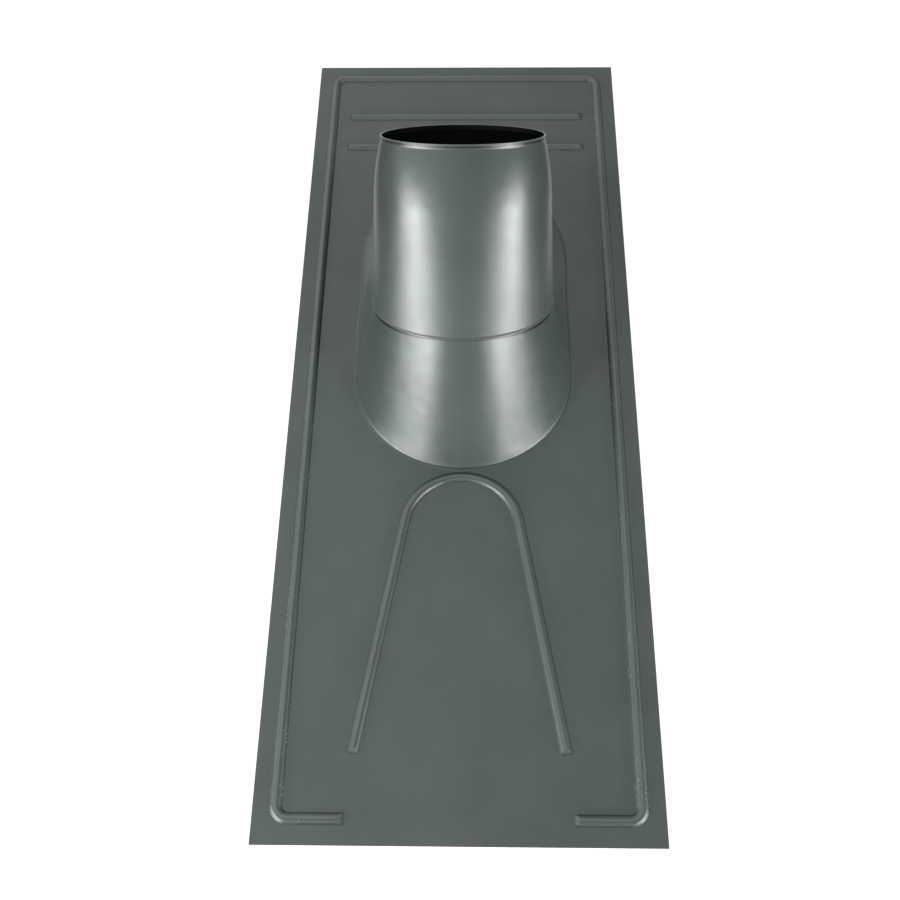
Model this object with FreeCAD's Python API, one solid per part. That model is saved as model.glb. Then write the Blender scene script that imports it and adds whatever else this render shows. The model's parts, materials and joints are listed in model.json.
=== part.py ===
"""Pipe flashing boot for a pitched roof.

Two sheet-metal pieces: a long rectangular base with pressed beads and a drawn skirt, and
a tapered collar that laps over the skirt's neck. The plate lies in the XY plane with its
underside at Z = 0 and its centre at the origin. +Y points up the roof, and the collar leans
that way by the roof's pitch, so that it stands upright once the roof is pitched.
Lengths are in millimetres and angles in degrees.
"""
import FreeCAD, Part
import math
import os

Vector = FreeCAD.Vector

# Base sheet
plate_width = 300.0
plate_length = 800.0
sheet = 1.2

# Collar: a leaning tube with a plain neck at the rim, a rounded shoulder and a slow taper
roof_pitch = 37.6
axis_foot_y = -10.5
rim_reach = 222.0
collar_bore_r = 66.0
collar_wall = 1.2
collar_neck = 4.0
shoulder_run = 44.0
shoulder_rise = 6.2
collar_taper = 1.95

# Seam: the collar's lower edge, in a plane flatter than the rim's
seam_reach = 84.0
seam_pitch = 27.4
seam_gap = 0.8
lap_depth = 9.0
lap_clearance = 0.15

# Drawn skirt: its foot is a long oval, round in front and behind with straight sides
skirt_foot_r = 94.0
skirt_front_y = 8.0
skirt_straight = 144.0
skirt_foot_round = 3.5
skirt_foot_inset = 0.9
hollow_neck_drop = 1.7
half_section_steps = 12
foot_bend_steps = 3

# Pressed beads
bead_width = 10.5
bead_height = 3.0
bead_root_round = 1.5
bead_root_sink = 0.05
bead_end_slope = 35.0

# Border bead: round the top and the sides, open in the middle of the lower edge
border_side_inset = 17.0
border_top_inset = 17.0
border_bottom_inset = 19.0
border_corner_r = 9.5
border_bottom_gap = 166.0

# Two cross beads above the collar, given by their distance below the upper edge
cross_bead_length = 234.0
cross_bead_insets = (72.0, 113.5)

# Horseshoe bead below the skirt
shoe_r = 47.0
shoe_arc_y = -141.0
shoe_spread = 9.5
shoe_end_y = -333.0

# Space that cutting bodies keep beyond the part
margin = 20.0

collar_outer_r = collar_bore_r + collar_wall
neck_outset = collar_wall + lap_clearance
plate_top = sheet
seam_lean = roof_pitch - seam_pitch
shoulder_end_r = collar_outer_r + shoulder_rise
shoulder_end = rim_reach - collar_neck - shoulder_run


def axis_placement():
    """Placement that leans an upright body up the roof, from the collar's axis on the plate."""
    turn = FreeCAD.Rotation(Vector(1, 0, 0), -roof_pitch)
    return FreeCAD.Placement(Vector(0, axis_foot_y, plate_top), turn)


def collar_profile(outset, reach_below):
    """Edges of the collar's outer line, moved in by outset, from the rim to reach_below."""
    chord_angle = math.atan2(shoulder_rise, shoulder_run)
    chord = math.hypot(shoulder_rise, shoulder_run)
    sagitta = chord / 2 * math.tan((chord_angle - math.radians(collar_taper)) / 2)
    low_r = taper_radius(reach_below)
    rim = Vector(collar_outer_r - outset, 0, rim_reach)
    neck = Vector(collar_outer_r - outset, 0, rim_reach - collar_neck)
    middle = Vector(
        collar_outer_r - outset + shoulder_rise / 2 + sagitta * math.cos(chord_angle),
        0,
        rim_reach - collar_neck - shoulder_run / 2 + sagitta * math.sin(chord_angle),
    )
    shoulder = Vector(shoulder_end_r - outset, 0, shoulder_end)
    low = Vector(low_r - outset, 0, reach_below)
    return [
        Part.LineSegment(rim, neck).toShape(),
        Part.Arc(neck, middle, shoulder).toShape(),
        Part.LineSegment(shoulder, low).toShape(),
    ]


def taper_radius(reach):
    """Outer radius of the collar's tapered length at a reach along its axis."""
    return shoulder_end_r + (shoulder_end - reach) * math.tan(math.radians(collar_taper))


def seam_slab(below, above):
    """Large body between two planes that lie below and above the seam's plane."""
    size = 4 * taper_radius(0)
    turn = FreeCAD.Rotation(Vector(1, 0, 0), -seam_pitch)
    middle = axis_placement().multVec(Vector(0, 0, seam_reach))
    slab = Part.makeBox(size, size, above + below, Vector(-size / 2, -size / 2, -below))
    slab.Placement = FreeCAD.Placement(middle, turn)
    return slab


def make_collar():
    """Revolve the collar's wall about the leaning axis and trim its foot along the seam."""
    outer = collar_profile(0, 0)
    inner = collar_profile(collar_wall, 0)
    rim_edge = Part.LineSegment(inner[0].Vertexes[0].Point, outer[0].Vertexes[0].Point).toShape()
    foot_edge = Part.LineSegment(inner[-1].Vertexes[-1].Point, outer[-1].Vertexes[-1].Point).toShape()
    section = Part.Face(Part.Wire(Part.__sortEdges__(outer + [foot_edge] + inner + [rim_edge])))
    tube = section.revolve(Vector(0, 0, 0), Vector(0, 0, 1), 360)
    tube.Placement = axis_placement()
    return tube.common(seam_slab(0, rim_reach + margin)).Solids[0]


def half_turn_angles():
    """Angles of a section's right half, from the middle of its front to that of its back."""
    return [math.pi * (step / half_section_steps - 0.5) for step in range(half_section_steps + 1)]


def half_curves(points):
    """Smooth curve through a section's right half, and its mirror image on the left.

    Each half leaves and reaches the middle plane square to it.
    """
    angles = half_turn_angles()
    front_pace = (points[1] - points[0]).Length / (angles[1] - angles[0])
    back_pace = (points[-1] - points[-2]).Length / (angles[-1] - angles[-2])
    curves = []
    for side in (1, -1):
        curve = Part.BSplineCurve()
        curve.interpolate(
            Points=[Vector(side * point.x, point.y, point.z) for point in points],
            Parameters=angles,
            InitialTangent=Vector(side * front_pace, 0, 0),
            FinalTangent=Vector(-side * back_pace, 0, 0),
            Scale=False,
        )
        curves.append(curve.toShape())
    return curves


def neck_point(angle, outset, lift):
    """Point of the skirt's neck, cut parallel to the seam and lift above the seam's plane."""
    slope = math.tan(math.radians(seam_lean))
    taper = math.tan(math.radians(collar_taper))
    reach = seam_reach + lift / math.cos(math.radians(seam_lean))
    side, back = math.cos(angle), math.sin(angle)
    radius = (taper_radius(reach) - outset) / (1 + taper * slope * back)
    upright = Vector(radius * side, radius * back, reach + radius * back * slope)
    return axis_placement().multVec(upright)


def foot_point(angle, inset, height):
    """Point of the skirt's long oval foot: a half circle in front, straight sides, one behind.

    The upper half is spaced so that its pace starts and ends equal to the front's, which
    keeps the skirt smooth where the straight sides begin.
    """
    radius = skirt_foot_r - inset
    back_y = skirt_front_y + skirt_straight
    angle = angle % (2 * math.pi)
    if angle > math.pi:
        return Vector(radius * math.cos(angle), skirt_front_y + radius * math.sin(angle), height)
    run = radius * angle + skirt_straight * (2 * angle - math.sin(2 * angle)) / math.pi
    turn = (run - skirt_straight) / radius
    if turn < 0:
        return Vector(radius, skirt_front_y + run, height)
    if turn > math.pi:
        return Vector(-radius, back_y - radius * (turn - math.pi), height)
    return Vector(radius * math.cos(turn), back_y + radius * math.sin(turn), height)


def rolled_foot_point(angle, share, inset, outset, drop, height, bend_r):
    """Point of the bend between the plate and the skirt's wall, share of the way up it."""
    foot = foot_point(angle, inset, height)
    wall = neck_point(angle, outset, -drop) - foot
    level = Vector(wall.x, wall.y, 0)
    slope = math.atan2(wall.z, level.Length)
    level.normalize()
    turn = share * slope
    inward = bend_r * (math.sin(turn) - math.tan(slope / 2))
    return foot + level * inward + Vector(0, 0, bend_r * (1 - math.cos(turn)))


def skirt_rows(inset, outset, drop, height, bend_r):
    """Section curves of one side of the skirt's sheet, from its rolled foot to its neck's top.

    The wall meets the neck at drop below the seam's plane.
    """
    rows = []
    for step in range(foot_bend_steps + 1):
        share = step / foot_bend_steps
        rows.append([
            rolled_foot_point(angle, share, inset, outset, drop, height, bend_r)
            for angle in half_turn_angles()
        ])
    for level in (-drop, lap_depth):
        rows.append([neck_point(angle, outset, level) for angle in half_turn_angles()])
    for row in rows:
        row[0].x = 0
        row[-1].x = 0
    return [half_curves(row) for row in rows]


def ruled_face(low, high):
    """Face of straight lines between points of equal parameter on two like curves."""
    surface = Part.BSplineSurface()
    surface.buildFromPolesMultsKnots(
        [low.Curve.getPoles(), high.Curve.getPoles()],
        [2, 2],
        low.Curve.getMultiplicities(),
        [0, 1],
        low.Curve.getKnots(),
        False,
        False,
        1,
        low.Curve.Degree,
    )
    return surface.toShape()


def strips(lower, upper):
    """Ruled faces between two sections' right and left halves."""
    return [ruled_face(low, high) for low, high in zip(lower, upper)]


def plate_corners(height):
    """Corner points of the plate at one height, anticlockwise seen from above."""
    side, end = plate_width / 2, plate_length / 2
    corners = ((-side, -end), (side, -end), (side, end), (-side, end))
    return [Vector(x, y, height) for x, y in corners]


def holed_plate(height, rim):
    """Flat face of the plate at one height, open inside the skirt's rim curves."""
    outline = Part.makePolygon(plate_corners(height) + plate_corners(height)[:1])
    return Part.makeFace([outline, Part.Wire(rim)], "Part::FaceMakerBullseye").Faces[0]


def edge_faces():
    """The four narrow faces round the plate's edge."""
    low, high = plate_corners(0), plate_corners(plate_top)
    faces = []
    for here in range(4):
        there = (here + 1) % 4
        corners = [low[here], low[there], high[there], high[here], low[here]]
        faces.append(Part.Face(Part.makePolygon(corners)))
    return faces


def make_drawn_sheet():
    """The flat sheet with the skirt drawn up out of it, sewn from its faces."""
    outer = skirt_rows(0, neck_outset, seam_gap, plate_top, skirt_foot_round)
    inner = skirt_rows(
        skirt_foot_inset, neck_outset + sheet, seam_gap + hollow_neck_drop, 0, skirt_foot_round + sheet
    )
    faces = [holed_plate(plate_top, outer[0]), holed_plate(0, inner[0])] + edge_faces()
    for side in (outer, inner):
        for lower, upper in zip(side, side[1:]):
            faces += strips(lower, upper)
    faces += strips(outer[-1], inner[-1])
    skin = Part.makeCompound(faces)
    skin.sewShape()
    solid = Part.Solid(skin.Shells[0])
    if solid.Volume < 0:
        solid.reverse()
    return solid


def bead_crown():
    """Radius and height of the arc that forms a bead's crown, and of its root's centre."""
    half = bead_width / 2
    base = plate_top - bead_root_sink
    centre_gap = (half ** 2 + bead_height ** 2) / (2 * bead_height)
    crown_r = centre_gap - bead_root_round
    return crown_r, base + bead_height - crown_r, base + bead_root_round


def bead_section():
    """Closed section of a bead across X at the origin, with rounded roots."""
    half = bead_width / 2
    crown_r, crown_z, root_z = bead_crown()
    lean = math.atan2(root_z - crown_z, half)
    bend_turn = math.radians(225) + lean / 2
    join = Vector(crown_r * math.cos(lean), 0, crown_z + crown_r * math.sin(lean))
    bend = Vector(
        half + bead_root_round * math.cos(bend_turn), 0, root_z + bead_root_round * math.sin(bend_turn)
    )
    root = Vector(half, 0, root_z - bead_root_round)
    top = Vector(0, 0, crown_z + crown_r)
    edges = [
        Part.Arc(across(root), across(bend), across(join)).toShape(),
        Part.Arc(across(join), top, join).toShape(),
        Part.Arc(join, bend, root).toShape(),
        Part.LineSegment(root, across(root)).toShape(),
    ]
    return Part.Wire(edges)


def hollow_section():
    """Closed section of the groove under a bead, a plain arc one sheet inside its crown."""
    crown_r, crown_z, _ = bead_crown()
    radius = crown_r - sheet
    half = math.sqrt(radius ** 2 - (crown_z + bead_root_sink) ** 2)
    low = Vector(half, 0, -bead_root_sink)
    edges = [
        Part.Arc(across(low), Vector(0, 0, crown_z + radius), low).toShape(),
        Part.LineSegment(low, across(low)).toShape(),
    ]
    return Part.Wire(edges)


def across(point):
    """The point mirrored in the plane X = 0."""
    return Vector(-point.x, point.y, point.z)


def rounded_path(corners, radius=0):
    """Path of straight runs through the corners, joined by tangent arcs."""
    edges = []
    start = corners[0]
    for before, corner, after in zip(corners, corners[1:], corners[2:]):
        arrive = (corner - before).normalize()
        leave = (after - corner).normalize()
        half_turn = arrive.getAngle(leave) / 2
        reach = radius * math.tan(half_turn)
        inward = (leave - arrive).normalize()
        middle = corner + inward * (radius / math.cos(half_turn) - radius)
        edges.append(Part.LineSegment(start, corner - arrive * reach).toShape())
        edges.append(Part.Arc(corner - arrive * reach, middle, corner + leave * reach).toShape())
        start = corner + leave * reach
    edges.append(Part.LineSegment(start, corners[-1]).toShape())
    return Part.Wire(edges)


def heading(direction):
    """Angle in degrees that turns +Y to a level direction."""
    return math.degrees(math.atan2(-direction.x, direction.y))


def bead_body(corners, radius, section, offset):
    """Section swept along a path, with both ends sloped down to the plate."""
    path = rounded_path(corners, radius)
    ahead = corners[1] - corners[0]
    turn = FreeCAD.Rotation(Vector(0, 0, 1), heading(ahead))
    section.Placement = FreeCAD.Placement(corners[0], turn)
    bead = path.makePipeShell([section], True, False)
    for end, inner in ((corners[0], corners[1]), (corners[-1], corners[-2])):
        bead = bead.cut(bead_end_cutter(end, end - inner, offset))
    return bead


def bead_end_cutter(end, outward, offset):
    """Body above the slope that ends a bead, offset towards the bead's inside."""
    size = 4 * bead_width
    slope = math.radians(bead_end_slope)
    turn = FreeCAD.Rotation(Vector(0, 0, 1), heading(outward))
    tilt = FreeCAD.Rotation(Vector(1, 0, 0), -bead_end_slope)
    normal = turn.multVec(Vector(0, math.sin(slope), math.cos(slope)))
    foot = end + Vector(0, 0, plate_top - bead_root_sink) - normal * offset
    cutter = Part.makeBox(size, size, size, Vector(-size / 2, -size / 2, 0))
    cutter.Placement = FreeCAD.Placement(foot, turn.multiply(tilt))
    return cutter


def bead_routes():
    """Corner points and corner radius of each bead."""
    side = plate_width / 2 - border_side_inset
    top = plate_length / 2 - border_top_inset
    bottom = border_bottom_inset - plate_length / 2
    gap = border_bottom_gap / 2
    border = [
        Vector(gap, bottom, 0),
        Vector(side, bottom, 0),
        Vector(side, top, 0),
        Vector(-side, top, 0),
        Vector(-side, bottom, 0),
        Vector(-gap, bottom, 0),
    ]
    spread = math.radians(shoe_spread)
    apex_y = shoe_arc_y + shoe_r / math.sin(spread)
    leg_x = (apex_y - shoe_end_y) * math.tan(spread)
    shoe = [Vector(leg_x, shoe_end_y, 0), Vector(0, apex_y, 0), Vector(-leg_x, shoe_end_y, 0)]
    routes = [(border, border_corner_r), (shoe, shoe_r)]
    for inset in cross_bead_insets:
        y = plate_length / 2 - inset
        reach = cross_bead_length / 2
        routes.append(([Vector(-reach, y, 0), Vector(reach, y, 0)], 0))
    return routes


def make_base():
    """Press the beads into the drawn sheet, hollow on its underside."""
    base = make_drawn_sheet()
    for corners, radius in bead_routes():
        base = base.fuse(bead_body(corners, radius, bead_section(), 0))
    for corners, radius in bead_routes():
        base = base.cut(bead_body(corners, radius, hollow_section(), sheet))
    return base.Solids[0]


def main():
    os.makedirs("parts", exist_ok=True)
    for name, piece in (("flashing_base", make_base()), ("collar", make_collar())):
        if not piece.isValid():
            raise ValueError(name + " is not a valid solid")
        piece.exportStep("parts/" + name + ".step")
        print(name, len(piece.Faces), "faces,", round(piece.Volume), "mm3")


main()
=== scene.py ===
"""Looks of a pipe flashing boot: satin coating on its sheet and collar, rolled rim and lap edge.

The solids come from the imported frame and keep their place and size. Lengths are in metres.
"""
import json
import math

import bpy
from mathutils import Matrix, Vector


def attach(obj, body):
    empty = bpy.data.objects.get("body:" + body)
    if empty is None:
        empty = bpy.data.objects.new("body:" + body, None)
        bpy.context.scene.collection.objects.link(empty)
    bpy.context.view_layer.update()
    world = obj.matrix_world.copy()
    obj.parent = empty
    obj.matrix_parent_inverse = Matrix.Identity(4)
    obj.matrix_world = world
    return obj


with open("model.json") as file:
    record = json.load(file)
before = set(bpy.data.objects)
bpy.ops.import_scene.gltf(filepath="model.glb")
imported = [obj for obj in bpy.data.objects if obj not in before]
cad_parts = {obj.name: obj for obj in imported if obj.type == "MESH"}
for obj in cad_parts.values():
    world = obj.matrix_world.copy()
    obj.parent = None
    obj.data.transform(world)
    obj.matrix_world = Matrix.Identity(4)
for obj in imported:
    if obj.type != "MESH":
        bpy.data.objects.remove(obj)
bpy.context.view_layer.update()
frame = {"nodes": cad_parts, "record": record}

bl_info = {
    "name": "Pipe flashing boot",
    "version": (1, 0, 0),
    "blender": (4, 5, 0),
    "location": "View3D > Sidebar > Flashing",
    "description": "Coats a pipe flashing boot and adds its rolled rim and lap edge",
    "category": "Object",
}

MOUNTS = {mount["name"]: mount for mount in frame["record"]["mounts"]}
BORE = MOUNTS["pipe_bore"]
BORE_MIDDLE = Vector(BORE["pos_m"])
BORE_AXIS = Vector(BORE["axis"]).normalized()
BORE_R = BORE["dims"]["r_mm"] / 1000
NECK_LENGTH = BORE["dims"]["length_mm"] / 1000
RIM_MIDDLE = BORE_MIDDLE + BORE_AXIS * NECK_LENGTH / 2

# The seam between collar and skirt: a plane that leans back less than the rim's plane
SEAM_DROP = 0.138
SEAM_PITCH = math.radians(27.4)
SEAM_MIDDLE = RIM_MIDDLE - BORE_AXIS * SEAM_DROP
SEAM_NORMAL = Vector((0, math.sin(SEAM_PITCH), math.cos(SEAM_PITCH)))
SEAM_R = 0.07646
COLLAR_TAPER = math.radians(1.95)
SEAM_LEAN = math.radians(10.2)

# Camera fitted to the plate's corners, in the frame's own axes
CAMERA_PLACE = Vector((0.01156, -0.64565, 0.93343))
CAMERA_RIGHT = Vector((0.99979, 0.01355, -0.01517))
CAMERA_UP = Vector((-0.00352, 0.84979, 0.52711))
CAMERA_BACK = Vector((0.02004, -0.52695, 0.84966))
CAMERA_LENS = 51.74
SENSOR_WIDTH = 36.0

# Sizes of the coating's patterns
CLOUD_SIZE = 0.06
ROUGH_SIZE = 0.012
SCUFF_SIZE = 0.0016
SCUFF_PATCH_SIZE = 0.04
LIP_DENT_SIZE = 0.012
GLOSSY_IOR = 1.6

# Noise values between which a pattern turns from off to on
CLOUD_NOISE = (0.35, 0.65)
ROUGH_NOISE = (0.3, 0.7)
SCUFF_NOISE = (0.6, 0.68)
SCUFF_PATCH_NOISE = (0.48, 0.58)
LIP_NOISE = (0.3, 0.7)

# Upward part of the normal at which a face counts as a flank, a crown or scuffed
FLANK_TILTS = (0.86, 0.97)
CROWN_TILTS = (0.96, 0.99)
SCUFF_STEEPEST = (0.5, 0.6)
SCUFF_FLATTEST = (0.9, 0.97)
# Downward part of the normal on the underside
DOWNWARD_TILTS = (0.05, 0.1)
# Reach of the spoke from the collar's axis along the normal, inside the collar
INWARD_REACHES = (-0.02, -0.01)

# Where the coating's tones start and end: the painted shade and painted highlights on the beads,
# under the rim and along the seam, the scuffs and the wear. Heights are above the roof's face, and
# places and sides are sideways from the middle.
# Painted shade at the bead feet, then the painted highlight along the crowns
BEAD_FOOT_HEIGHTS = (0.0017, 0.0027)
BEAD_CROWN_HEIGHTS = (0.0036, 0.0040)
BEAD_CROWN_ENDS = (0.0045, 0.0048)
BEAD_TOP_HEIGHTS = (0.0045, 0.005)
OUTER_BEAD_PLACES = (0.1, 0.12)
# Along the collar's axis from the bore's middle
WEAR_RUN = (-0.13, -0.05)
# Below the rim, along the axis; the heights keep the shade off the plate
LIP_SHADE_STARTS = (0.0032, 0.0022)
LIP_SHADE_ENDS = (0.0012, 0.0008)
LIP_SHADE_HEIGHTS = (0.05, 0.06)
# Above the seam's plane, and how much lower the shade starts at the sides
SEAM_SHADE_DEPTHS = (-0.0013, -0.0009)
SEAM_SHADE_SIDES = (0.01, 0.05)
SEAM_SHADE_GROWTH = 0.002
# From the collar's axis: the shade ends outside the neck
NECK_RADII = (0.079, 0.081)

# The rolled edges
EDGE_SIDES = 12
SEAM_LIP_SINK_SHARE = 0.4

# How strong the tones are: painted shade, painted highlight, rougher flanks and scuffs
BEAD_FOOT_SHADE_SHARE = 0.6
BEAD_CROWN_HIGHLIGHT_SHARE = 0.16
BEAD_FLANK_ROUGHNESS = 0.12
SCUFF_SHARE = 0.6
LIP_SHADE_SHARE = 0.7
SEAM_SHADE_SHARE = 0.9

# Stage
FLOOR_DROP = 0.0005
FLOOR_GREY = (0.6, 0.6, 0.6, 1)
# Painted pools of light on the floor, which glow only in reflections: one in front and one behind
# the collar
FRONT_POOL_RUN = (-0.2, -0.08)
BACK_POOL_RUN = (0.08, 0.15)
BACK_POOL_SIDES = (0.18, 0.22)
SKY_RUN = (-0.3, 0.25)
SKY_SIDES = (-0.3, 0.3)
LAMP_TINT = (1, 0.945, 0.99)
LAMP_AIM = Vector((0, 0, 0.12))
SOFTBOX_PLACES = (("left", (-1.57, -1.07, 0.27)), ("right", (1.6, -1.02, 0.27)))
SOFTBOX_SIZE = (1.9, 0.5)
HIGH_PLACES = (("left", (-1.32, -0.86, 1.66)), ("right", (1.32, -0.86, 1.66)))
HIGH_SIZE = (0.4, 0.4)
CORES = (
    ("left", (-1.43, -1.11, 0.42), (1.0, 0.26)),
    ("right", (1.5, -1.02, 0.33), (1.0, 0.24)),
)


class FlashingCoating(bpy.types.PropertyGroup):
    """Colours and finish of the sheet's coating, and the near black and light grey that paint shade
    and highlights onto it
    """

    body_colour: bpy.props.FloatVectorProperty(
        name="Coating colour",
        description="Dark grey-green of the satin coating",
        subtype="COLOR",
        size=3,
        min=0,
        max=1,
        default=(0.067, 0.09, 0.081),
    )
    cloud_colour: bpy.props.FloatVectorProperty(
        name="Cloud colour",
        description="Slightly lighter tone of the coating's soft clouds",
        subtype="COLOR",
        size=3,
        min=0,
        max=1,
        default=(0.076, 0.102, 0.091),
    )
    # Near black painted as shade: inside the collar, under the base, along the seam, under the
    # rim's roll and at the bead feet
    painted_shade_colour: bpy.props.FloatVectorProperty(
        name="Inside colour",
        description="Near black of the sheet's inner and lower faces",
        subtype="COLOR",
        size=3,
        min=0,
        max=1,
        default=(0.004, 0.005, 0.005),
    )
    # Light grey of real scuffs on the outer beads, and also of the painted highlight along the bead
    # crowns, which are not worn
    scuff_and_highlight_colour: bpy.props.FloatVectorProperty(
        name="Scuff colour",
        description="Light grey of the scuffs on the outer beads and of the worn crowns",
        subtype="COLOR",
        size=3,
        min=0,
        max=1,
        default=(0.3, 0.33, 0.32),
    )
    metallic: bpy.props.FloatProperty(
        name="Metallic share",
        description="How much the coating's flakes reflect like metal",
        min=0,
        max=1,
        default=0.4,
    )
    roughness: bpy.props.FloatProperty(
        name="Roughness",
        description="Middle roughness of the satin coating",
        min=0.05,
        max=1,
        default=0.33,
    )
    collar_wear: bpy.props.FloatProperty(
        name="Collar wear",
        description="How much rougher the collar is at its foot than at its mouth",
        min=0,
        max=0.3,
        default=0.1,
    )
    roughness_spread: bpy.props.FloatProperty(
        name="Roughness spread",
        description="How far the roughness strays from its middle",
        min=0,
        max=0.2,
        default=0.02,
    )
    peel_size: bpy.props.FloatProperty(
        name="Orange peel size",
        description="Width of one dimple in the coating",
        subtype="DISTANCE",
        unit="LENGTH",
        min=0.0002,
        max=0.02,
        default=0.003,
    )
    peel_depth: bpy.props.FloatProperty(
        name="Orange peel depth",
        description="Depth of the dimples in the coating",
        subtype="DISTANCE",
        unit="LENGTH",
        min=0,
        max=0.001,
        default=0.00002,
    )
    dent_size: bpy.props.FloatProperty(
        name="Dent size",
        description="Width of one soft wave in the sheet",
        subtype="DISTANCE",
        unit="LENGTH",
        min=0.002,
        max=0.2,
        default=0.018,
    )
    dent_depth: bpy.props.FloatProperty(
        name="Dent depth",
        description="Depth of the soft waves in the sheet",
        subtype="DISTANCE",
        unit="LENGTH",
        min=0,
        max=0.002,
        default=0.00022,
    )


class FlashingEdges(bpy.types.PropertyGroup):
    """Sizes of the rounded edges that the collar is finished with"""

    rim_roll_r: bpy.props.FloatProperty(
        name="Rim roll radius",
        description="Radius of the rounded edge round the collar's mouth",
        subtype="DISTANCE",
        unit="LENGTH",
        min=0.0002,
        max=0.003,
        default=0.0007,
    )
    rim_roll_outset: bpy.props.FloatProperty(
        name="Rim roll outset",
        description="How far the middle of the rim's roll lies outside the pipe's bore",
        subtype="DISTANCE",
        unit="LENGTH",
        min=0.0001,
        max=0.003,
        default=0.0006,
    )
    seam_lip_r: bpy.props.FloatProperty(
        name="Seam lip radius",
        description="Radius of the rounded lip along the collar's lower edge",
        subtype="DISTANCE",
        unit="LENGTH",
        min=0.0002,
        max=0.002,
        default=0.0011,
    )
    seam_lip_uneven: bpy.props.FloatProperty(
        name="Seam lip unevenness",
        description="Share by which the lip's thickness strays along the seam",
        min=0,
        max=0.9,
        default=0.35,
    )
    edge_segments: bpy.props.IntProperty(
        name="Edge segments",
        description="Segments once round a rolled edge",
        min=32,
        max=1024,
        default=288,
    )


class FlashingStage(bpy.types.PropertyGroup):
    """Light and floor of the stage"""

    floor_size: bpy.props.FloatProperty(
        name="Floor size",
        description="Side length of the pale floor",
        subtype="DISTANCE",
        unit="LENGTH",
        min=2,
        max=40,
        default=12.0,
    )
    left_power: bpy.props.FloatProperty(
        name="Left light power",
        description="Power of the softbox in front on the left",
        subtype="POWER",
        min=0,
        max=500,
        default=25,
    )
    right_power: bpy.props.FloatProperty(
        name="Right light power",
        description="Power of the softbox in front on the right",
        subtype="POWER",
        min=0,
        max=500,
        default=22.5,
    )
    core_share: bpy.props.FloatProperty(
        name="Core share",
        description="Power of each softbox's bright core as a share of its own",
        min=0,
        max=2,
        default=0.6,
    )
    high_power: bpy.props.FloatProperty(
        name="High light power",
        description="Power of each small light high up at the sides, which casts the shadows",
        subtype="POWER",
        min=0,
        max=500,
        default=22.0,
    )
    sky_strength: bpy.props.FloatProperty(
        name="Sky strength",
        description="Strength of the even light from all round",
        min=0,
        max=2,
        default=0.3,
    )
    sky_front: bpy.props.FloatProperty(
        name="Front sky in gloss",
        description="Strength of the sky in front as glossy surfaces show it",
        min=0,
        max=2,
        default=0.26,
    )
    sky_back: bpy.props.FloatProperty(
        name="Back sky in gloss",
        description="Strength of the sky behind as glossy surfaces show it",
        min=0,
        max=2,
        default=0.76,
    )
    sky_lean: bpy.props.FloatProperty(
        name="Sky lean",
        description="Share by which the sky in gloss is stronger left and weaker right",
        min=0,
        max=1,
        default=0.55,
    )
    floor_glow: bpy.props.FloatProperty(
        name="Floor glow",
        description="White added to the floor as the camera sees it",
        min=0,
        max=1,
        default=0.7,
    )
    # The floor's strengths in gloss are painted pools of light, glowing only in reflections
    floor_front: bpy.props.FloatProperty(
        name="Front floor in gloss",
        description="Strength of the floor in front as glossy surfaces show it",
        min=0,
        max=1,
        default=1.0,
    )
    floor_side: bpy.props.FloatProperty(
        name="Side floor in gloss",
        description="Strength of the floor beside the object as glossy surfaces show it",
        min=0,
        max=1,
        default=0.05,
    )
    floor_back: bpy.props.FloatProperty(
        name="Back floor in gloss",
        description="Strength of the floor behind the collar as glossy surfaces show it",
        min=0,
        max=1,
        default=1.0,
    )


def node_tree_of(material):
    """Empty node tree of a material, with its output node."""
    material.use_nodes = True
    tree = material.node_tree
    tree.nodes.clear()
    output = tree.nodes.new("ShaderNodeOutputMaterial")
    return tree, output


def noise(tree, coordinates, size, detail):
    """Noise texture on Object coordinates with features of about the given width."""
    texture = tree.nodes.new("ShaderNodeTexNoise")
    texture.inputs["Scale"].default_value = 1 / size
    texture.inputs["Detail"].default_value = detail
    tree.links.new(coordinates, texture.inputs["Vector"])
    return texture.outputs["Fac"]


def ramp(tree, value, low, high, out_low, out_high):
    """Value mapped from one range to another and held at its ends."""
    mapped = tree.nodes.new("ShaderNodeMapRange")
    mapped.inputs["From Min"].default_value = low
    mapped.inputs["From Max"].default_value = high
    mapped.inputs["To Min"].default_value = out_low
    mapped.inputs["To Max"].default_value = out_high
    tree.links.new(value, mapped.inputs["Value"])
    return mapped.outputs["Result"]


def mix_colours(tree, share, first, second):
    """Mix of two colours, each a socket or a plain colour."""
    mixed = tree.nodes.new("ShaderNodeMix")
    mixed.data_type = "RGBA"
    tree.links.new(share, mixed.inputs["Factor"])
    for colour, socket in ((first, mixed.inputs[6]), (second, mixed.inputs[7])):
        if isinstance(colour, bpy.types.NodeSocket):
            tree.links.new(colour, socket)
        else:
            socket.default_value = (*colour, 1)
    return mixed.outputs[2]


def math_step(tree, operation, first, second):
    """One sum of two numbers; second may be a socket or a plain number."""
    step = tree.nodes.new("ShaderNodeMath")
    step.operation = operation
    tree.links.new(first, step.inputs[0])
    if isinstance(second, bpy.types.NodeSocket):
        tree.links.new(second, step.inputs[1])
    else:
        step.inputs[1].default_value = second
    return step.outputs[0]


def product(tree, first, *others):
    """Product of two or more numbers; all but the first may be plain."""
    for other in others:
        first = math_step(tree, "MULTIPLY", first, other)
    return first


def vector_step(tree, operation, first, second):
    """One vector sum; second may be a socket or a plain vector."""
    step = tree.nodes.new("ShaderNodeVectorMath")
    step.operation = operation
    tree.links.new(first, step.inputs[0])
    if isinstance(second, bpy.types.NodeSocket):
        tree.links.new(second, step.inputs[1])
    else:
        step.inputs[1].default_value = second
    return step


def split(tree, coordinates):
    """X, Y and Z of a vector, as sockets by name."""
    parts = tree.nodes.new("ShaderNodeSeparateXYZ")
    tree.links.new(coordinates, parts.inputs[0])
    return parts.outputs


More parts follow.
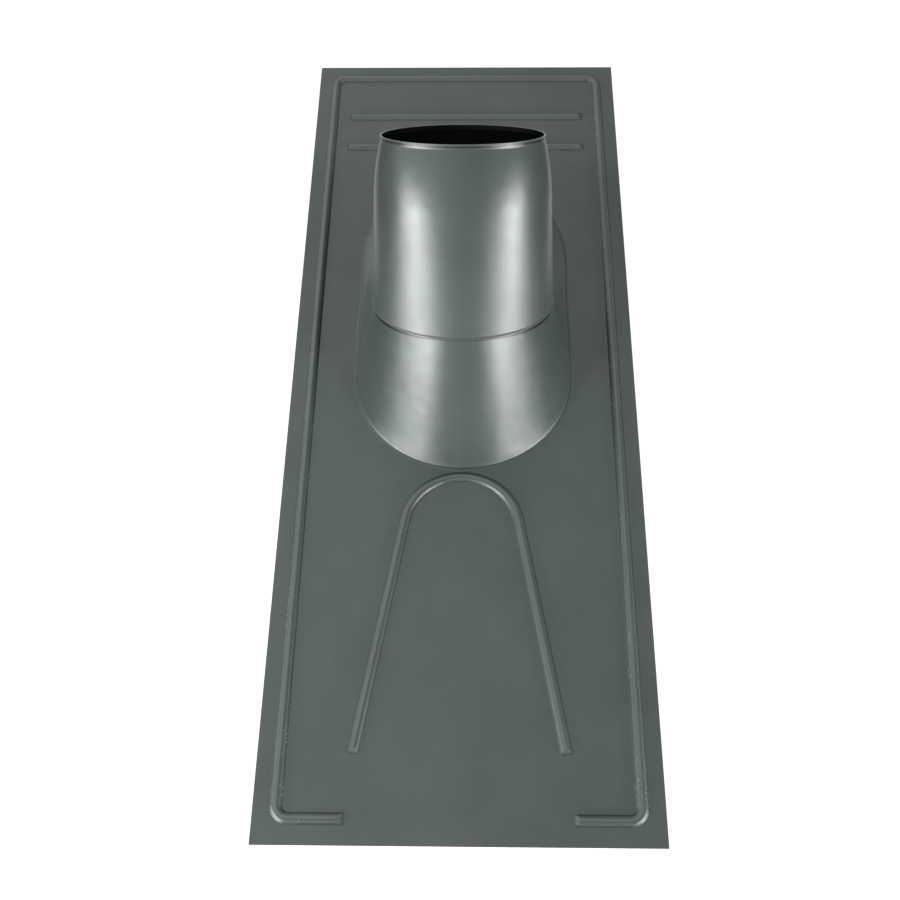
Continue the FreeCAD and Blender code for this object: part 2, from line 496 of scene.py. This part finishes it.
def arm_along_axis(tree, coordinates):
    """Vector from the bore's middle to the shaded point, and its reach along the axis."""
    arm = vector_step(tree, "SUBTRACT", coordinates, BORE_MIDDLE).outputs["Vector"]
    return arm, vector_step(tree, "DOT_PRODUCT", arm, BORE_AXIS).outputs["Value"]


def spoke_from_axis(tree, coordinates):
    """Vector from the collar's axis straight out to the shaded point."""
    arm, along = arm_along_axis(tree, coordinates)
    axis = tree.nodes.new("ShaderNodeVectorMath")
    axis.operation = "SCALE"
    axis.inputs[0].default_value = BORE_AXIS
    tree.links.new(along, axis.inputs["Scale"])
    return vector_step(tree, "SUBTRACT", arm, axis.outputs["Vector"]).outputs["Vector"]


def collar_inside_painted_shade(tree, coordinates, normal):
    """Share of painted shade: 1 where the collar's surface faces its own axis, 0 outside."""
    spoke = spoke_from_axis(tree, coordinates)
    facing = vector_step(tree, "DOT_PRODUCT", spoke, normal).outputs["Value"]
    return ramp(tree, facing, *INWARD_REACHES, 1, 0)


def base_painted_shade(tree, coordinates, normal):
    """Share of painted shade: 1 where the base faces down, and up to 0.9 along the seam and under
    the lap.
    """
    down = vector_step(tree, "DOT_PRODUCT", normal, Vector((0, 0, -1))).outputs["Value"]
    below = ramp(tree, down, *DOWNWARD_TILTS, 0, 1)
    sideways = math_step(tree, "ABSOLUTE", split(tree, coordinates)["X"], 0)
    wider = ramp(tree, sideways, *SEAM_SHADE_SIDES, 0, SEAM_SHADE_GROWTH)
    height = math_step(tree, "ADD", seam_distance(tree, coordinates), wider)
    above = ramp(tree, height, *SEAM_SHADE_DEPTHS, 0, SEAM_SHADE_SHARE)
    length = tree.nodes.new("ShaderNodeVectorMath")
    length.operation = "LENGTH"
    tree.links.new(spoke_from_axis(tree, coordinates), length.inputs[0])
    near = ramp(tree, length.outputs["Value"], *NECK_RADII, 1, 0)
    return math_step(tree, "MAXIMUM", below, product(tree, above, near))


def seam_distance(tree, coordinates):
    """Distance above the seam's plane, below it where negative."""
    arm = vector_step(tree, "SUBTRACT", coordinates, SEAM_MIDDLE).outputs["Vector"]
    return vector_step(tree, "DOT_PRODUCT", arm, SEAM_NORMAL).outputs["Value"]


def bead_painted_light_and_scuffs(tree, coordinates, normal):
    """Shares of painted shade at the bead feet, painted highlight along the crowns, plain flank and
    scuffs on the pressed beads.
    """
    upright = vector_step(tree, "DOT_PRODUCT", normal, Vector((0, 0, 1))).outputs["Value"]
    parts = split(tree, coordinates)
    height = parts["Z"]
    tilted = ramp(tree, upright, *FLANK_TILTS, 1, 0)
    low = ramp(tree, height, *BEAD_TOP_HEIGHTS, 1, 0)
    # Painted shade in the creases at the feet of the beads and of the skirt
    foot = product(tree, tilted, ramp(tree, height, *BEAD_FOOT_HEIGHTS, BEAD_FOOT_SHADE_SHARE, 0))
    # Painted highlight along the crowns of the beads
    crown = product(
        tree,
        ramp(tree, upright, *CROWN_TILTS, 0, BEAD_CROWN_HIGHLIGHT_SHARE),
        ramp(tree, height, *BEAD_CROWN_HEIGHTS, 0, 1),
        ramp(tree, height, *BEAD_CROWN_ENDS, 1, 0),
    )
    sideways = math_step(tree, "ABSOLUTE", parts["X"], 0)
    scuffs = product(
        tree,
        ramp(tree, upright, *SCUFF_STEEPEST, 0, 1),
        ramp(tree, upright, *SCUFF_FLATTEST, 1, 0),
        low,
        ramp(tree, sideways, *OUTER_BEAD_PLACES, 0, 1),
        ramp(tree, noise(tree, coordinates, SCUFF_SIZE, 2), *SCUFF_NOISE, 0, SCUFF_SHARE),
        ramp(tree, noise(tree, coordinates, SCUFF_PATCH_SIZE, 1), *SCUFF_PATCH_NOISE, 0, 1),
    )
    return foot, crown, product(tree, tilted, low), scuffs


def shade_under_lip(tree, coordinates, along):
    """Share of the thin dark line below the rim's roll."""
    rim = NECK_LENGTH / 2
    start, full = (rim - drop for drop in LIP_SHADE_STARTS)
    fade, end = (rim - drop for drop in LIP_SHADE_ENDS)
    return product(
        tree,
        ramp(tree, along, start, full, 0, LIP_SHADE_SHARE),
        ramp(tree, along, fade, end, 1, 0),
        ramp(tree, split(tree, coordinates)["Z"], *LIP_SHADE_HEIGHTS, 0, 1),
    )


def coating_bump(tree, coordinates, settings):
    """Normal with the coating's orange peel and the sheet's soft waves."""
    bump = tree.nodes.new("ShaderNodeBump")
    bump.inputs["Strength"].default_value = 1
    bump.inputs["Distance"].default_value = 1
    peel = product(tree, noise(tree, coordinates, settings.peel_size, 1), settings.peel_depth)
    dents = product(tree, noise(tree, coordinates, settings.dent_size, 1), settings.dent_depth)
    tree.links.new(math_step(tree, "ADD", peel, dents), bump.inputs["Height"])
    return bump.outputs["Normal"]


def coating(name, painted_shade_side, worn_foot, settings):
    """Satin coating with soft clouds, orange peel and scuffs; shade is painted near black on its
    inner side, under the rim's roll and at the bead feet, and a highlight is painted along the bead
    crowns.
    """
    material = bpy.data.materials.new(name)
    tree, output = node_tree_of(material)
    shader = tree.nodes.new("ShaderNodeBsdfPrincipled")
    place = tree.nodes.new("ShaderNodeTexCoord").outputs["Object"]
    normal = tree.nodes.new("ShaderNodeNewGeometry").outputs["Normal"]
    along = arm_along_axis(tree, place)[1]
    foot, crown, flanks, scuffs = bead_painted_light_and_scuffs(tree, place, normal)

    clouds = ramp(tree, noise(tree, place, CLOUD_SIZE, 3), *CLOUD_NOISE, 0, 1)
    colour = mix_colours(tree, clouds, settings.body_colour, settings.cloud_colour)
    # Painted shade (near black) inside, under the rim's roll and at the bead feet; painted
    # highlight on the bead crowns; the scuffs are real wear
    for share, tone in (
        (painted_shade_side(tree, place, normal), settings.painted_shade_colour),
        (shade_under_lip(tree, place, along), settings.painted_shade_colour),
        (foot, settings.painted_shade_colour),
        (crown, settings.scuff_and_highlight_colour),
        (scuffs, settings.scuff_and_highlight_colour),
    ):
        colour = mix_colours(tree, share, colour, tone)
    tree.links.new(colour, shader.inputs["Base Color"])

    smoothest = settings.roughness - settings.roughness_spread
    roughest = smoothest + 2 * settings.roughness_spread
    rough = ramp(tree, noise(tree, place, ROUGH_SIZE, 4), *ROUGH_NOISE, smoothest, roughest)
    rough = math_step(tree, "ADD", rough, ramp(tree, along, *WEAR_RUN, worn_foot, 0))
    rough = math_step(tree, "ADD", rough, product(tree, flanks, BEAD_FLANK_ROUGHNESS))
    tree.links.new(rough, shader.inputs["Roughness"])

    tree.links.new(coating_bump(tree, place, settings), shader.inputs["Normal"])
    shader.inputs["Metallic"].default_value = settings.metallic
    shader.inputs["Specular IOR Level"].default_value = 1
    shader.inputs["IOR"].default_value = GLOSSY_IOR
    tree.links.new(shader.outputs["BSDF"], output.inputs["Surface"])
    return material


def dress(node, material):
    """Give every material slot of a frame node the material."""
    for slot in node.material_slots:
        slot.link = "DATA"
        slot.material = material


def ring_object(name, points):
    """Closed ring of edges through the points, as an object at the origin."""
    mesh = bpy.data.meshes.new(name)
    count = len(points)
    mesh.from_pydata(points, [(step, (step + 1) % count) for step in range(count)], [])
    ring = bpy.data.objects.new(name, mesh)
    bpy.context.scene.collection.objects.link(ring)
    return ring


def group_input(group, name, kind, default=None):
    """Named input socket of a node group."""
    socket = group.interface.new_socket(name=name, in_out="INPUT", socket_type=kind)
    if default is not None:
        socket.default_value = default
    return socket


def rolled_edge_group():
    """Geometry Nodes that lay a round edge of uneven thickness along a ring of edges."""
    group = bpy.data.node_groups.new("rolled_edge", "GeometryNodeTree")
    group_input(group, "Ring", "NodeSocketGeometry")
    group_input(group, "Edge radius", "NodeSocketFloat", 0.001)
    group_input(group, "Unevenness", "NodeSocketFloat", 0.0)
    group_input(group, "Dent size", "NodeSocketFloat", 0.01)
    group_input(group, "Material", "NodeSocketMaterial")
    group.interface.new_socket(name="Edge", in_out="OUTPUT", socket_type="NodeSocketGeometry")
    nodes = group.nodes
    link = group.links.new
    source = nodes.new("NodeGroupInput")
    curve = nodes.new("GeometryNodeMeshToCurve")
    link(source.outputs["Ring"], curve.inputs["Mesh"])
    per_dent = nodes.new("ShaderNodeMath")
    per_dent.operation = "DIVIDE"
    per_dent.inputs[0].default_value = 1
    link(source.outputs["Dent size"], per_dent.inputs[1])
    dents = nodes.new("ShaderNodeTexNoise")
    dents.inputs["Detail"].default_value = 2
    link(per_dent.outputs[0], dents.inputs["Scale"])
    stray = nodes.new("ShaderNodeMapRange")
    stray.inputs["From Min"].default_value, stray.inputs["From Max"].default_value = LIP_NOISE
    thin = nodes.new("ShaderNodeMath")
    thin.operation = "SUBTRACT"
    thin.inputs[0].default_value = 1
    link(source.outputs["Unevenness"], thin.inputs[1])
    link(dents.outputs["Fac"], stray.inputs["Value"])
    link(thin.outputs[0], stray.inputs["To Min"])
    thickness = nodes.new("ShaderNodeMath")
    thickness.operation = "MULTIPLY"
    link(stray.outputs["Result"], thickness.inputs[0])
    link(source.outputs["Edge radius"], thickness.inputs[1])
    profile = nodes.new("GeometryNodeCurvePrimitiveCircle")
    profile.inputs["Resolution"].default_value = EDGE_SIDES
    profile.inputs["Radius"].default_value = 1
    sweep = nodes.new("GeometryNodeCurveToMesh")
    link(curve.outputs["Curve"], sweep.inputs["Curve"])
    link(profile.outputs["Curve"], sweep.inputs["Profile Curve"])
    link(thickness.outputs[0], sweep.inputs["Scale"])
    smooth = nodes.new("GeometryNodeSetShadeSmooth")
    link(sweep.outputs["Mesh"], smooth.inputs["Geometry"])
    real = nodes.new("GeometryNodeRealizeInstances")
    link(smooth.outputs["Geometry"], real.inputs["Geometry"])
    finish = nodes.new("GeometryNodeSetMaterial")
    link(real.outputs["Geometry"], finish.inputs["Geometry"])
    link(source.outputs["Material"], finish.inputs["Material"])
    target = nodes.new("NodeGroupOutput")
    link(finish.outputs["Geometry"], target.inputs["Edge"])
    return group


def grow(base, group, values):
    """Plain object that the node group makes from a base object with the given inputs."""
    modifier = base.modifiers.new(group.name, "NODES")
    sockets = {item.name: item for item in group.interface.items_tree if item.in_out == "INPUT"}
    modifier.node_group = group
    for name, value in values.items():
        modifier[sockets[name].identifier] = value
    view = bpy.context.evaluated_depsgraph_get()
    mesh = bpy.data.meshes.new_from_object(base.evaluated_get(view))
    base.modifiers.remove(modifier)
    name = base.name
    bpy.data.objects.remove(base)
    mesh.name = name
    grown = bpy.data.objects.new(name, mesh)
    bpy.context.scene.collection.objects.link(grown)
    return grown


def edge_group():
    """The one rolled edge node group, made when first asked for."""
    return bpy.data.node_groups.get("rolled_edge") or rolled_edge_group()


def axis_frame():
    """Directions across the collar and towards its back, square to its axis."""
    across = Vector((1, 0, 0))
    return across, BORE_AXIS.cross(across)


def rim_ring(radius, drop, segments):
    """Points round the collar's mouth, a little below its rim."""
    across, behind = axis_frame()
    middle = RIM_MIDDLE - BORE_AXIS * drop
    turns = [math.tau * step / segments for step in range(segments)]
    return [middle + (across * math.cos(t) + behind * math.sin(t)) * radius for t in turns]


def seam_ring(sink, lift, segments):
    """Points along the collar's lower edge, sunk into its wall and lifted off the seam."""
    across, behind = axis_frame()
    lean = math.tan(SEAM_LEAN)
    taper = math.tan(COLLAR_TAPER) * lean
    points = []
    for step in range(segments):
        turn = math.tau * step / segments
        radius = SEAM_R / (1 + taper * math.sin(turn)) - sink
        reach = radius * math.sin(turn) * lean + lift
        spoke = across * math.cos(turn) + behind * math.sin(turn)
        points.append(SEAM_MIDDLE + spoke * radius + BORE_AXIS * reach)
    return points


class FLASHING_OT_coat_base(bpy.types.Operator):
    """Coat the base sheet and its drawn skirt"""

    bl_idname = "flashing.coat_base"
    bl_label = "Coat the base"

    def execute(self, context):
        settings = context.scene.flashing_coating
        material = coating("base_coating_satin", base_painted_shade, 0, settings)
        dress(frame["nodes"]["flashing_base"], material)
        return {"FINISHED"}


class FLASHING_OT_coat_collar(bpy.types.Operator):
    """Coat the collar outside and paint shade near black into its inside"""

    bl_idname = "flashing.coat_collar"
    bl_label = "Coat the collar"

    def execute(self, context):
        settings = context.scene.flashing_coating
        material = coating("collar_coating_satin", collar_inside_painted_shade, settings.collar_wear, settings)
        dress(frame["nodes"]["collar"], material)
        return {"FINISHED"}


class FLASHING_OT_roll_rim(bpy.types.Operator):
    """Round the edge of the collar's mouth"""

    bl_idname = "flashing.roll_rim"
    bl_label = "Roll the rim"

    def execute(self, context):
        edges = context.scene.flashing_edges
        radius = BORE_R + edges.rim_roll_outset
        points = rim_ring(radius, edges.rim_roll_r, edges.edge_segments)
        values = {
            "Edge radius": edges.rim_roll_r,
            "Unevenness": 0.0,
            "Material": bpy.data.materials["collar_coating_satin"],
        }
        rim = grow(ring_object("rim_roll", points), edge_group(), values)
        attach(rim, "root")
        return {"FINISHED"}


class FLASHING_OT_seam_lip(bpy.types.Operator):
    """Lay the uneven rounded lip along the collar's lower edge"""

    bl_idname = "flashing.seam_lip"
    bl_label = "Lay the seam lip"

    def execute(self, context):
        edges = context.scene.flashing_edges
        sink = edges.seam_lip_r * SEAM_LIP_SINK_SHARE
        points = seam_ring(sink, edges.seam_lip_r, edges.edge_segments)
        values = {
            "Edge radius": edges.seam_lip_r,
            "Unevenness": edges.seam_lip_uneven,
            "Dent size": LIP_DENT_SIZE,
            "Material": bpy.data.materials["collar_coating_satin"],
        }
        lip = grow(ring_object("seam_lip", points), edge_group(), values)
        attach(lip, "root")
        return {"FINISHED"}


def seen_strength(tree, scattered, direct, glossy):
    """Strength by kind of ray: scattered light, seen or through clear surfaces, off glossy ones."""
    path = tree.nodes.new("ShaderNodeLightPath")
    camera = path.outputs["Is Camera Ray"]
    straight = math_step(tree, "MAXIMUM", camera, path.outputs["Is Transmission Ray"])
    mirrored = tree.nodes.new("ShaderNodeMapRange")
    mirrored.inputs["To Min"].default_value = scattered
    tree.links.new(glossy, mirrored.inputs["To Max"])
    tree.links.new(path.outputs["Is Glossy Ray"], mirrored.inputs["Value"])
    shown = ramp(tree, straight, 0, 1, 0, direct)
    return math_step(tree, "MAXIMUM", shown, mirrored.outputs["Result"])


def glow(tree, strength):
    """White emission with its strength from a socket."""
    shader = tree.nodes.new("ShaderNodeEmission")
    tree.links.new(strength, shader.inputs["Strength"])
    return shader.outputs["Emission"]


def make_floor(settings):
    """Pale floor: white to the camera, and to gloss painted pools of light that glow, one in front
    and one behind the bore.
    """
    half = settings.floor_size / 2
    mesh = bpy.data.meshes.new("floor")
    corners = [(-half, -half), (half, -half), (half, half), (-half, half)]
    mesh.from_pydata([(x, y, -FLOOR_DROP) for x, y in corners], [], [(0, 1, 2, 3)])
    floor = bpy.data.objects.new("floor", mesh)
    bpy.context.scene.collection.objects.link(floor)
    material = bpy.data.materials.new("pale_floor")
    tree, output = node_tree_of(material)
    diffuse = tree.nodes.new("ShaderNodeBsdfDiffuse")
    diffuse.inputs["Color"].default_value = FLOOR_GREY
    path = tree.nodes.new("ShaderNodeLightPath")
    direct = math_step(
        tree, "MAXIMUM", path.outputs["Is Camera Ray"], path.outputs["Is Transmission Ray"]
    )
    white = tree.nodes.new("ShaderNodeAddShader")
    tree.links.new(diffuse.outputs["BSDF"], white.inputs[0])
    tree.links.new(glow(tree, ramp(tree, direct, 0, 1, 0, settings.floor_glow)), white.inputs[1])
    parts = split(tree, tree.nodes.new("ShaderNodeTexCoord").outputs["Object"])
    sideways = math_step(tree, "ABSOLUTE", parts["X"], 0)
    # Painted pools of light, seen only in reflections
    front = ramp(tree, parts["Y"], *FRONT_POOL_RUN, settings.floor_front, settings.floor_side)
    behind = ramp(tree, parts["Y"], *BACK_POOL_RUN, 0, settings.floor_back)
    near = ramp(tree, sideways, *BACK_POOL_SIDES, 1, 0)
    painted_light_pools = math_step(tree, "ADD", front, product(tree, behind, near))
    finish = tree.nodes.new("ShaderNodeMixShader")
    tree.links.new(path.outputs["Is Glossy Ray"], finish.inputs["Fac"])
    tree.links.new(white.outputs[0], finish.inputs[1])
    tree.links.new(glow(tree, painted_light_pools), finish.inputs[2])
    tree.links.new(finish.outputs[0], output.inputs["Surface"])
    mesh.materials.append(material)


def make_world(settings):
    """Even light, white to the camera and through clear surfaces, dimmer in gloss by direction."""
    world = bpy.data.worlds.new("studio")
    bpy.context.scene.world = world
    world.use_nodes = True
    tree = world.node_tree
    tree.nodes.clear()
    output = tree.nodes.new("ShaderNodeOutputWorld")
    background = tree.nodes.new("ShaderNodeBackground")
    way = split(tree, tree.nodes.new("ShaderNodeTexCoord").outputs["Generated"])
    back = ramp(tree, way["Y"], *SKY_RUN, settings.sky_front, settings.sky_back)
    left = ramp(tree, way["X"], *SKY_SIDES, 1 + settings.sky_lean, 1 - settings.sky_lean)
    in_gloss = product(tree, back, left)
    strength = seen_strength(tree, settings.sky_strength, 1, in_gloss)
    tree.links.new(strength, background.inputs["Strength"])
    tree.links.new(background.outputs["Background"], output.inputs["Surface"])


def softbox(name, place, size, power):
    """Rectangular light that faces the collar."""
    data = bpy.data.lights.new(name, "AREA")
    data.shape = "RECTANGLE"
    data.size, data.size_y = size
    data.energy = power
    data.color = LAMP_TINT
    lamp = bpy.data.objects.new(name, data)
    lamp.location = place
    lamp.rotation_euler = (LAMP_AIM - Vector(place)).to_track_quat("-Z", "Y").to_euler()
    bpy.context.scene.collection.objects.link(lamp)
    return lamp


def make_lamps(settings):
    """Two softboxes in front, two small lights high up, and a bright core in each softbox."""
    powers = {"left": settings.left_power, "right": settings.right_power}
    for side, place in SOFTBOX_PLACES:
        softbox("softbox_" + side, place, SOFTBOX_SIZE, powers[side])
    for side, place in HIGH_PLACES:
        softbox("high_" + side, place, HIGH_SIZE, settings.high_power).visible_glossy = False
    for side, place, size in CORES:
        softbox("core_" + side, place, size, powers[side] * settings.core_share)


def make_camera():
    """Camera above the lower edge, looking down the plate at the collar."""
    data = bpy.data.cameras.new("camera")
    data.lens = CAMERA_LENS
    data.sensor_width = SENSOR_WIDTH
    camera = bpy.data.objects.new("camera", data)
    turn = Matrix((CAMERA_RIGHT, CAMERA_UP, CAMERA_BACK)).transposed()
    camera.matrix_world = Matrix.Translation(CAMERA_PLACE) @ turn.to_4x4()
    bpy.context.scene.collection.objects.link(camera)
    bpy.context.scene.camera = camera


class FLASHING_OT_stage(bpy.types.Operator):
    """Set up the camera, the pale floor and the studio light"""

    bl_idname = "flashing.stage"
    bl_label = "Set the stage"

    def execute(self, context):
        settings = context.scene.flashing_stage
        make_camera()
        make_floor(settings)
        make_world(settings)
        make_lamps(settings)
        context.scene.view_settings.view_transform = "Standard"
        return {"FINISHED"}


class FLASHING_PT_panel(bpy.types.Panel):
    """Steps and sizes of the flashing boot"""

    bl_idname = "FLASHING_PT_panel"
    bl_label = "Flashing boot"
    bl_space_type = "VIEW_3D"
    bl_region_type = "UI"
    bl_category = "Flashing"

    def draw(self, context):
        layout = self.layout
        for operator in OPERATORS:
            layout.operator(operator.bl_idname)
        for group in ("flashing_coating", "flashing_edges", "flashing_stage"):
            settings = getattr(context.scene, group)
            box = layout.box()
            for name in settings.__annotations__:
                box.prop(settings, name)


OPERATORS = (
    FLASHING_OT_stage,
    FLASHING_OT_coat_base,
    FLASHING_OT_coat_collar,
    FLASHING_OT_roll_rim,
    FLASHING_OT_seam_lip,
)
GROUPS = {
    "flashing_coating": FlashingCoating,
    "flashing_edges": FlashingEdges,
    "flashing_stage": FlashingStage,
}


def register():
    for group in GROUPS.values():
        bpy.utils.register_class(group)
    for operator in OPERATORS:
        bpy.utils.register_class(operator)
    bpy.utils.register_class(FLASHING_PT_panel)
    for name, group in GROUPS.items():
        setattr(bpy.types.Scene, name, bpy.props.PointerProperty(type=group))


def unregister():
    for name in GROUPS:
        delattr(bpy.types.Scene, name)
    bpy.utils.unregister_class(FLASHING_PT_panel)
    for operator in reversed(OPERATORS):
        bpy.utils.unregister_class(operator)
    for group in GROUPS.values():
        bpy.utils.unregister_class(group)


def run_step(operator):
    """Call one operator through bpy.ops and stop the script if it doesn't finish."""
    family, name = operator.bl_idname.split(".")
    if getattr(getattr(bpy.ops, family), name)() != {"FINISHED"}:
        raise RuntimeError(operator.bl_idname + " did not finish")


def main():
    register()
    for operator in OPERATORS:
        run_step(operator)


if __name__ == "__main__":
    main()
